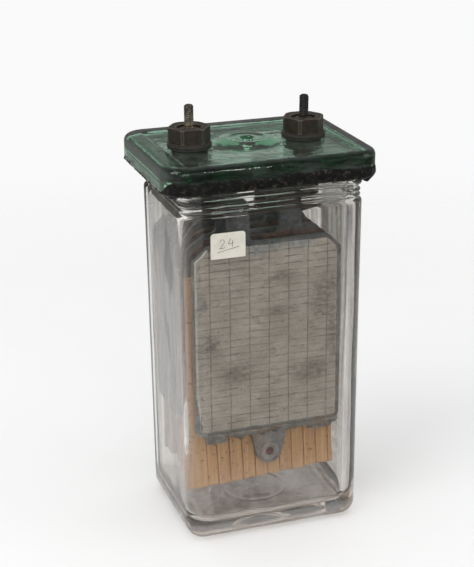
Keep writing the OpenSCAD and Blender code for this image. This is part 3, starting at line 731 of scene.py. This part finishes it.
def plate_face(name, y, out, mat, seed):
    """Smeared face of an outer plate over its ribs, with the lines of bars and ribs sunk in."""
    half, low, high = PLATE_W / 2 - FLANGE - 0.1, PLATE_LOW + FLANGE + 0.1, PLATE_HIGH - TOP_FLANGE - 0.05
    nx, nz = 240, 310
    x, z = np.meshgrid(np.linspace(-half - FACE_OVERLAP, half, nx), np.linspace(low, high, nz))
    x, z = x.ravel(), z.ravel()
    p = np.column_stack([x, z, np.full_like(x, seed * 7.0)])

    # Lines: distance to the next bar and the next rib, and how deep they still show.
    bars = np.arange(-3, 4) * BAR_STEP
    bend = 0.25 * fbm(p * [0, 1 / 22, 1] + [0, 0, 3], 2, seed)
    to_bar = np.abs((x + bend)[:, None] - bars).min(axis=1)
    first = PLATE_LOW + FLANGE + RIM
    row = (PLATE_HIGH - TOP_FLANGE - RIM - first + 1.1) / RIB_ROWS
    t = (z - first + 0.55 + 0.25 * fbm(p * [1 / 15, 0, 1], 2, seed + 4)) / row
    to_rib = np.abs(t - np.round(t)) * row
    bar = np.clip(0.85 + 0.5 * fbm(p * [0.2, 1 / 6, 1], 2, seed + 2), 0.25, 1)
    bar *= np.exp(-(to_bar / 0.30) ** 2)
    rib = 0.8 * np.clip(0.62 + 0.5 * fbm(p * [1 / 9, 1 / 5, 1], 2, seed + 9), 0.15, 1)
    rib *= np.exp(-(to_rib / 0.24) ** 2)
    pits = np.clip(fbm(p * [1 / 2.2, 1 / 1.6, 1], 2, seed + 20) - 1.02, 0, 1) * 3

    # Outline with cut upper and rounded lower corners: distance inward from it.
    wide = half + FACE_OVERLAP * rise(z, low + 6, low + 31) * (x < 0)
    cut = np.clip((TOP_CUT - 0.6 * FLANGE - (wide - np.abs(x)) - (high - z)) / math.sqrt(2), -9, 9)
    foot = 3.0 - np.hypot(np.clip(np.abs(x) - (wide - 3), 0, None), np.clip(low + 3 - z, 0, None))
    edge = np.minimum.reduce([wide - np.abs(x), z - low, high - z, -cut, np.where(z < 150, foot, 9)])
    inside = np.clip(edge / 0.7, 0, 1)
    depth = 0.04 + 0.05 * fbm(p / 3, 3, seed + 30) - 0.26 * bar - 0.14 * rib - 0.3 * pits
    depth = depth * inside - 0.7 * (1 - inside)

    a = (np.arange(nz - 1)[:, None] * nx + np.arange(nx - 1)).ravel()
    quads = np.column_stack([a, a + 1, a + nx + 1, a + nx])
    quads = quads[(edge > -0.4)[quads].all(axis=1)]
    used, index = np.unique(quads, return_inverse=True)
    faces = index.reshape(quads.shape)[:, ::1 if out < 0 else -1].tolist()
    points = np.column_stack([x, y + out * depth, z])[used]
    ob = make(name, points, faces, fix_normals=False, smooth_angle=180)

    # What the material reads.
    brim = np.exp(-((edge - 0.6) / 0.35) ** 2) * np.clip(0.75 + 0.5 * fbm(p / 7, 2, seed + 40), 0, 1)
    bare_z = high - 6.5 + 3 * fbm(p * [1 / 4, 0, 1], 2, seed + 41)
    bare = rise(z, bare_z, bare_z + 3) * rise(x, -16, -12) * rise(x, 36, 28)
    marks = sum(np.exp(-((x - a) / c) ** 2 - ((z - b) / d) ** 2) for a, b, c, d in STAINS)
    patchy = np.clip(0.62 + 0.42 * fbm(p / [3.0, 1.6, 1], 4, seed + 50), 0.3, 1)
    cell = np.column_stack([np.floor((x + 3.5 * BAR_STEP - 0.025) / BAR_STEP), np.floor(t), x * 0 + seed])
    tone, stained = value_noise(cell + 0.5, 3) * 0.5 + 0.5, np.clip(1.2 * marks, 0, 1) * patchy
    mark(ob, line=np.clip(bar + rib + pits, 0, 1)[used], cell=tone[used], edge=brim[used],
         bare=bare[used], stained=stained[used])
    return dress(ob, mat)


def build_deposit(mat):
    """Crumbs and scale along the lower edge of the front plate."""
    y, z = -STACK / 2, PLATE_LOW
    rings = []
    for x in np.linspace(-45, 50, 191):
        coarse, fine = np.array([[x / 5.0, 3.0, 1.0]]), np.array([[x / 1.3, 7.0, 2.0]])
        hang = 0.5 + 2.1 * np.clip(0.35 + fbm(coarse, 3, 61)[0], 0, 1.2) + 0.4 * fbm(fine, 2, 62)[0]
        hang += np.interp(x, [-28, -22, -8, 8, 16], [0, 2.2, 2.2, 1.0, 2.4])
        hang *= min(1, (x + 45.5) / 4, (50.5 - x) / 4)
        puff = 0.25 + 0.25 * fbm(fine + 5, 2, 63)[0]
        rings.append(np.array([
            (x, y - 0.1, z + 0.9), (x, y - 0.35 - puff, z + 0.3), (x, y - 0.3 - puff, z - 0.75 * hang),
            (x, y + 0.8, z - hang), (x, y + 3.5, z - 0.8 * hang), (x, y + 4.6, z + 0.2), (x, y + 2.0, z + 0.9)]))
    return dress(skin("plate_deposit", rings, smooth_angle=60), mat)


def board_lean(i):
    """Angle at which board i leans about the tie pin, as its solid does."""
    room = JAR_W / 2 - WALL - SHIFT - BOARD_HALF - 1
    share = (0.95, 0.4, -0.15, 0.2, -0.3, 0.25)[i - 1]
    return share * math.asin(room / (PLATE_HIGH - 20 - PIN_Z))


def board(i, mat):
    """Grooved board with rough ends, leaning as the solid does; the front one stands out on the left."""
    thick = PITCH - PLATE_T - 0.9
    xs = [-BOARD_HALF]
    for k in range(-5, 6):
        steps = (-0.47, -0.43, -0.15, 0.15, 0.43, 0.47) + ((3.0, 6.0) if k < 5 else ())
        xs += [GROOVE_STEP * k + step for step in steps]
    xs = np.array(xs + [BOARD_HALF])
    groove = np.abs(xs - GROOVE_STEP * np.round(xs / GROOVE_STEP)) < 0.45
    front = np.column_stack([xs, np.where(groove, -thick / 2 + GROOVE_DEPTH, -thick / 2)])
    plan = np.vstack([front, front[::-1] * [1, -1]])
    flag = np.concatenate([groove, groove[::-1]]).astype(float)
    end = np.abs(plan[:, 0]) > BOARD_HALF - 0.1
    rings, marks = [], []
    for v in (-21.5, -21.1, -20.0, *np.linspace(-17, 129, 40), 131.2, 131.7):
        q = np.column_stack([plan, np.full(len(plan), v)])
        p = q + [0, 0, 37.0 * i]
        near = v < -20.5 or v > 131
        q[:, 2] -= near * 0.9 * np.sign(v) * np.clip(fbm(p * [1 / 3, 1 / 4, 0], 3, 50 + i) + 0.35, 0, 1.4)
        q[:, 0] -= end * 0.35 * np.sign(plan[:, 0]) * np.clip(fbm(p / 9, 3, 60 + i), 0, 1)
        q[:, 1] *= 1 - 0.02 * np.clip(fbm(p / 8, 2, 70 + i), 0, 1)
        if i == 1:
            q[end & (plan[:, 0] < 0), 0] = FRONT_BOARD_LEFT + v * math.sin(board_lean(1))
        rings.append(q)
        marks.append(flag + 0.6 * near)
    ob = skin("wood_board_%d" % i, rings, smooth_angle=30)
    mark(ob, line=np.clip(np.concatenate(marks), 0, 1))
    y = (-STACK / 2 + PLATE_T / 2 + (i - 0.5) * PITCH) / 1000
    ob.data.transform(Matrix.Translation((0, y, PIN_Z / 1000)) @ Matrix.Rotation(-board_lean(i), 4, "Y"))
    return dress(ob, mat)


# ---- terminals

def hex_nut(name, x, turned, seed, mat):
    """Worn hexagonal nut with a threaded bore: one closed skin of outside, top, bore and underside."""
    a = angles(180)
    reach = NUT_FLATS / 2 / np.max([np.cos(a - math.radians(60 * k + 30)) for k in range(6)], axis=0)
    worn = reach - 0.55 * rise(reach, 14.1, 14.67) ** 2
    rings = []

    def level(radius, z, noise=0.07):
        q = round_ring(a, radius, z)
        q[:, :2] *= (1 + noise * fbm(q / 3.0 + [seed, 0, 0], 3, seed) / np.maximum(radius, 1))[:, None]
        rings.append(q)

    h = NUT_TOP - NUT_Z
    for z in (0.0, 0.2, 0.5, 0.9, 2.0, 4.0, 6.0, 8.0, 9.2, 9.6, 9.95, 10.2, 10.4, h):
        cap = 13.35 + 1.5 * min(1.0, min(z, h - z) / 0.8) ** 0.8
        level(np.minimum(worn, cap), NUT_Z + z)
    for r in (12.0, 11.0, 10.0, 9.0):
        level(r, NUT_TOP - 0.02)
    level(8.75, NUT_TOP - 0.15, 0.1)
    for z in np.arange(h - 0.7, 0.6, -0.29):
        level(BORE_R + THREAD_DEPTH * thread(z, a, THREAD_PITCH), NUT_Z + z, 0.03)
    level(8.7, NUT_Z + 0.05)
    level(10.5, NUT_Z)
    ob = skin(name, rings, wrap=True, smooth_angle=32)
    ob.data.transform(Matrix.Translation((x / 1000, 0, 0)) @ Matrix.Rotation(math.radians(turned), 4, "Z"))
    return dress(ob, mat)


def washer(name, x, seed, mat):
    low, high, r, hole = PANEL + 0.02, NUT_Z - 0.02, WASHER_R, 8.4
    section = [(hole, low), (r - 0.5, low), (r - 0.1, low + 0.25), (r, low + 0.8), (r - 0.05, 268.0),
               (r, high - 0.9), (r - 0.15, high - 0.3), (r - 0.7, high), (11.5, high), (hole, high)]
    return dress(lathe(name, section, x, n=96, wobble=0.10, seed=seed, wrap=True, smooth_angle=35), mat)


def stud(name, x, lean, seed, mat):
    """Threaded rod out of the post, with a worn rounded end."""
    a = angles(40)
    rings = []
    for z in np.arange(STUD_LOW, STUD_TOP + 0.01, 0.16):
        r = STUD_R - 0.30 * thread(z, a, STUD_PITCH) ** 1.3 * (z > 281.0)
        if 280.0 < z < 281.0:
            r = r - 0.5
        if STUD_TOP - z < 1.6:
            r = r * math.sqrt((1 - (1 - (STUD_TOP - z) / 1.6) ** 2) * 0.75 + 0.25)
        q = round_ring(a, r, z)
        q[:, :2] *= 1 + 0.018 * fbm(q / 2.0, 2, seed)[:, None]
        rings.append(q)
    ob = skin(name, rings, smooth_angle=40)
    foot = Vector((0, 0, 0.2665))
    tilt = Matrix.Rotation(math.radians(lean), 4, "Y") @ Matrix.Translation(-foot)
    ob.data.transform(Matrix.Translation(foot + Vector((x / 1000, 0, 0))) @ tilt)
    return dress(ob, mat)


def post_crust(name, x, seed, mat):
    """Lumpy lead and scale on a post's top, inside its nut."""
    a = angles(72)
    rings = []
    for r in (3.0, 3.3, 3.8, 4.4, 5.0, 5.6, 6.2, 6.8, 7.3, 7.65):
        q = round_ring(a, r, 0.0)
        lump = 1.25 * np.clip(fbm(q / 2.1, 3, seed) + 0.45, 0, 1.3) * (1 - (r / 7.9) ** 6)
        q[:, 2] = BARREL_TOP + 0.1 + lump + 0.5 * math.exp(-((r - 3.2) / 0.9) ** 2)
        rings.append(q)
    rings += [q * [1, 1, 0] + [0, 0, BARREL_TOP - 0.4] for q in (rings[-1], rings[0])]
    ob = skin(name, rings, wrap=True, smooth_angle=45)
    ob.data.transform(Matrix.Translation((x / 1000, 0, 0)))
    return dress(ob, mat)


# ---- label

LABEL_X, LABEL_Z = SHIFT - JAR_W / 2 + 18.5 + 11.75, SHOULDER - 19.8  # middle of the label
LABEL_CORNERS = ((9.55, 6.45, 2.2, 0), (-9.55, 6.45, 2.2, 90), (-11.3, -8.2, 0.45, 180), (11.3, -8.2, 0.45, 270))
# Pencil strokes of the number and the line under it, to the right and up from the middle.
STROKES = (
    ((-5.4, 2.6), (-4.9, 3.7), (-3.7, 4.1), (-2.6, 3.4), (-2.6, 2.2), (-3.6, 0.6), (-4.9, -0.9),
     (-5.7, -1.7), (-4.3, -1.7), (-2.0, -1.3)),
    ((1.9, 4.3), (1.0, 2.6), (0.2, 0.9), (1.7, 1.0), (3.9, 1.3)),
    ((3.2, 3.2), (3.0, 1.4), (2.8, -1.2)),
    ((-7.4, -4.3), (-2.6, -3.4), (2.6, -2.4), (7.4, -1.5)),
)


def label_point(u, v, lift=0.0):
    """Place on the label's face: u to the right and v up from its middle, in mm."""
    z = LABEL_Z + v
    y = -JAR_D / 2 + LEAN_D * (SHOULDER - z) / SHOULDER
    curl = 0.25 * max(0.0, (abs(u) - 9.5) / 2.5) ** 2 + 0.12 * max(0.0, (v - 6) / 3) ** 2
    return (LABEL_X + u, y - 0.20 - curl - lift, z)


def build_label():
    """Paper that curls off the glass at its edges, and the pencil number on it."""
    outline = []
    for cx, cy, r, a0 in LABEL_CORNERS:
        turns = [math.radians(a0 + t) for t in range(0, 91, 15)]
        outline += [(cx + r * math.cos(a), cy + r * math.sin(a)) for a in turns]
    levels = [(1.0, -0.16)] + [(share, 0.0) for share in (1.0, 0.985, 0.8, 0.55, 0.3, 0.08)]
    rings = [np.array([label_point(u * share, v * share, lift) for u, v in outline]) for share, lift in levels]
    sheet = skin("label_sheet", rings, smooth_angle=40)
    made = []
    for k, stroke in enumerate(STROKES):
        path = smooth_path(stroke, 7)
        d = np.gradient(path, axis=0)
        side = np.column_stack([-d[:, 1], d[:, 0]]) / np.linalg.norm(d, axis=1)[:, None]
        press = fbm(np.column_stack([path, path[:, 0] * 0]) * 1.5, 2, k)
        rings = []
        for p, half in zip(path, side * 0.17 * (1 + 0.35 * press)[:, None]):
            l, r = p + half, p - half
            rings.append(np.array([label_point(*l, 0.01), label_point(*l, 0.05),
                                   label_point(*r, 0.05), label_point(*r, 0.01)]))
        made.append(skin("stroke", rings))
    return dress(sheet, paper_mat()), dress(join("label_pencil_number", made), pencil_mat())


# ---- put together

jar = build_jar()
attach(jar, "jar_body")
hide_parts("jar")

cover = build_cover()
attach(cover, "cell_top")
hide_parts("cover")

COMPOUND = compound_mat()
bed = build_compound(COMPOUND)
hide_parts("sealing_compound")
for ob in (bed, build_smear(COMPOUND), build_lumps(COMPOUND)):
    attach(ob, "cell_top")

FACE = plate_face_mat()
SCALE = lead_mat("plate_scale", (0.25, 0.24, 0.215), (0.12, 0.112, 0.10), (0.17, 0.115, 0.08), 0.5, 0.8, 0.0)
front_face = plate_face("plate_face_front", -STACK / 2, -1, FACE, 1)
back_face = plate_face("plate_face_back", STACK / 2, 1, FACE, 2)
deposit = build_deposit(SCALE)
for ob in (front_face, back_face, deposit):
    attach(ob, "cell_top")

WOOD = wood_mat()
for i in range(1, 7):
    ob = board(i, WOOD)
    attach(ob, "cell_top")
    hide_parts("separator_%d" % i)

NUT = nut_mat("nut_iron", (0.041, 0.032, 0.024), (0.070, 0.034, 0.018), (0.23, 0.20, 0.165))
EBONITE = nut_mat("washer_ebonite", (0.026, 0.025, 0.021), (0.055, 0.032, 0.024), (0.09, 0.08, 0.075), 0.55)
BRASS = stud_mat("stud_brass", (0.24, 0.215, 0.15), (0.042, 0.035, 0.028), 0.0)
STEEL = stud_mat("stud_steel", (0.075, 0.066, 0.058), (0.022, 0.019, 0.017), 0.35)
CRUST = lead_mat("post_scale", (0.10, 0.07, 0.055), (0.035, 0.025, 0.02), (0.20, 0.085, 0.045), 0.6, 0.8, 0.0)
TERMINALS = (("negative", -POST_X, -5, BRASS, 0.0, (3, 5, 7, 13)),
             ("positive", POST_X, 0, STEEL, 1.2, (11, 6, 8, 17)))
for sign, x, turned, rod, lean, seeds in TERMINALS:
    ob = hex_nut(sign + "_hex_nut", x, turned, seeds[0], NUT)
    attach(ob, sign + "_nut_body")
    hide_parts(sign + "_nut")
    ob = washer(sign + "_ebonite_washer", x, seeds[1], EBONITE)
    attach(ob, sign + "_washer_body")
    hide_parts(sign + "_washer")
    ob = stud(sign + "_threaded_stud", x, lean, seeds[2], rod)
    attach(ob, "cell_top")
    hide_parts(sign + "_stud")
    ob = post_crust(sign + "_post_scale", x, seeds[3], CRUST)
    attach(ob, "cell_top")

sheet, ink = build_label()
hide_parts("paper_label")
for ob in (sheet, ink):
    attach(ob, "jar_body")

# Materials of the solids that stay as they are. The first beginning of a name that fits counts.
DARK_LEAD = lead_mat("dark_lead", (0.045, 0.043, 0.040), (0.015, 0.015, 0.015), (0.07, 0.045, 0.03), 0.4)
RUBBER = nut_mat("gasket_rubber", (0.012, 0.012, 0.012), (0.02, 0.018, 0.016), (0.03, 0.03, 0.03), 0.7)
KEPT = {
    "negative_gasket": RUBBER,
    "positive_gasket": RUBBER,
    "negative_paste": lead_mat(
        "grey_paste", (0.30, 0.29, 0.27), (0.2, 0.19, 0.18), (0.16, 0.13, 0.1), 0.3, 0.85, 0.0),
    "positive_paste": lead_mat(
        "brown_paste", (0.12, 0.065, 0.045), (0.07, 0.04, 0.03), (0.17, 0.07, 0.04), 0.4, 0.85, 0.0),
    "negative_grid": negative_grid_mat(),
    "positive_grid": positive_grid_mat(),
    "tie_washers": lead_mat("grey_lead", (0.40, 0.37, 0.335), (0.20, 0.19, 0.175), (0.24, 0.17, 0.125), 0.5),
    "tie_pin": lead_mat("pin_end", (0.20, 0.135, 0.115), (0.09, 0.06, 0.05), (0.22, 0.10, 0.07), 0.5),
    "negative_strap": DARK_LEAD,
    "negative_post": DARK_LEAD,
    "": lead_mat("brown_lead", (0.075, 0.042, 0.032), (0.022, 0.016, 0.014), (0.15, 0.065, 0.036), 0.5),
}
for name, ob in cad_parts.items():
    dress(ob, next(mat for start, mat in KEPT.items() if name.startswith(start)))


# ---- stage, light and camera

TABLE_HALF = 6000
corners = TABLE_HALF * np.array([(-1, -1, 0), (1, -1, 0), (1, 1, 0), (-1, 1, 0)])
floor = dress(make("floor", corners, [(0, 1, 2, 3)], fix_normals=False), floor_mat())
floor.location.z = -0.0002


def lamp(name, spot, aim_z, size, power):
    """Soft box that looks at the object's axis at the height aim_z."""
    data = bpy.data.lights.new(name, "AREA")
    data.shape, data.size, data.size_y, data.energy = "RECTANGLE", *size, power
    ob = place(name, data)
    ob.location = spot
    ob.rotation_mode = "QUATERNION"
    ob.rotation_quaternion = (Vector((0, 0, aim_z)) - Vector(spot)).to_track_quat("-Z", "Y")


lamp("key", (-1.1, -0.5, 1.5), 0.15, (0.9, 1.2), 11)
lamp("fill", (1.3, -0.7, 0.9), 0.15, (0.8, 1.2), 3)
lamp("front", (-0.25, -1.7, 0.75), 0.12, (0.9, 0.9), 4.0)
lamp("strip", (0.55, -1.7, 0.95), 0.15, (0.04, 0.45), 0.8)

# The room: plain light for all rays, dimmer in reflections, dark in places through the glass so
# that its edges show, and white for the camera.
world = bpy.data.worlds.new("studio")
world.use_nodes = True
scene.world = world
sky = Tree(world.node_tree)
ray = sky.add("ShaderNodeLightPath").outputs
look = sky.add("ShaderNodeTexCoord").outputs["Generated"]
way = sky.split(look)


def glow(strength):
    return sky.add("ShaderNodeBackground", {"Color": (1, 1, 1), "Strength": strength}).outputs[0]


dark_way = sky.add("ShaderNodeVectorMath", {0: look, 1: (0.31, -0.89, -0.34)}, operation="DOT_PRODUCT")
through = sky.fade(dark_way.outputs["Value"], 0.62, 0.92, 0.95, 0.12, smooth=True)
aside = sky.fade(way["X"], 0.78, 0.90, smooth=True)
aside = sky.times(aside, sky.fade(way["Z"], -0.42, -0.33, 0.45, 0.85))
through = sky.times(through, sky.minus(1.0, aside))
mirrored = sky.fade(way["Y"], -0.30, 0.50, 0.04, 0.24, smooth=True)
back = sky.blend(ray["Is Glossy Ray"], glow(0.86), glow(mirrored))
back = sky.blend(ray["Is Transmission Ray"], back, glow(through))
back = sky.blend(ray["Is Camera Ray"], back, glow(0.955))
sky.add("ShaderNodeOutputWorld", {"Surface": back})

# The photo's camera, as fitted: place in metres, angles in degrees, focal length in pixels.
CAMERA = (-0.30845, -0.89391, 0.51035)
YAW, PITCH_DOWN, ROLL, FOCAL = (*np.radians((18.5699, 20.0166, -0.6685)), 1461.93)
SENSOR, FRAME_H = 36, 567
cy, sy, cp, sp = math.cos(YAW), math.sin(YAW), math.cos(PITCH_DOWN), math.sin(PITCH_DOWN)
ahead = np.array([sy * cp, cy * cp, -sp])
right = np.array([cy, -sy, 0.0])
above = np.cross(right, ahead)
cr, sr = math.cos(ROLL), math.sin(ROLL)
right, above = cr * right + sr * above, cr * above - sr * right
cam_data = bpy.data.cameras.new("camera")
cam_data.lens = FOCAL * SENSOR / FRAME_H
cam = place("camera", cam_data)
cam.matrix_world = Matrix([[right[k], above[k], -ahead[k], CAMERA[k]] for k in range(3)] + [[0, 0, 0, 1]])
scene.camera = cam
scene.view_settings.view_transform = "Standard"
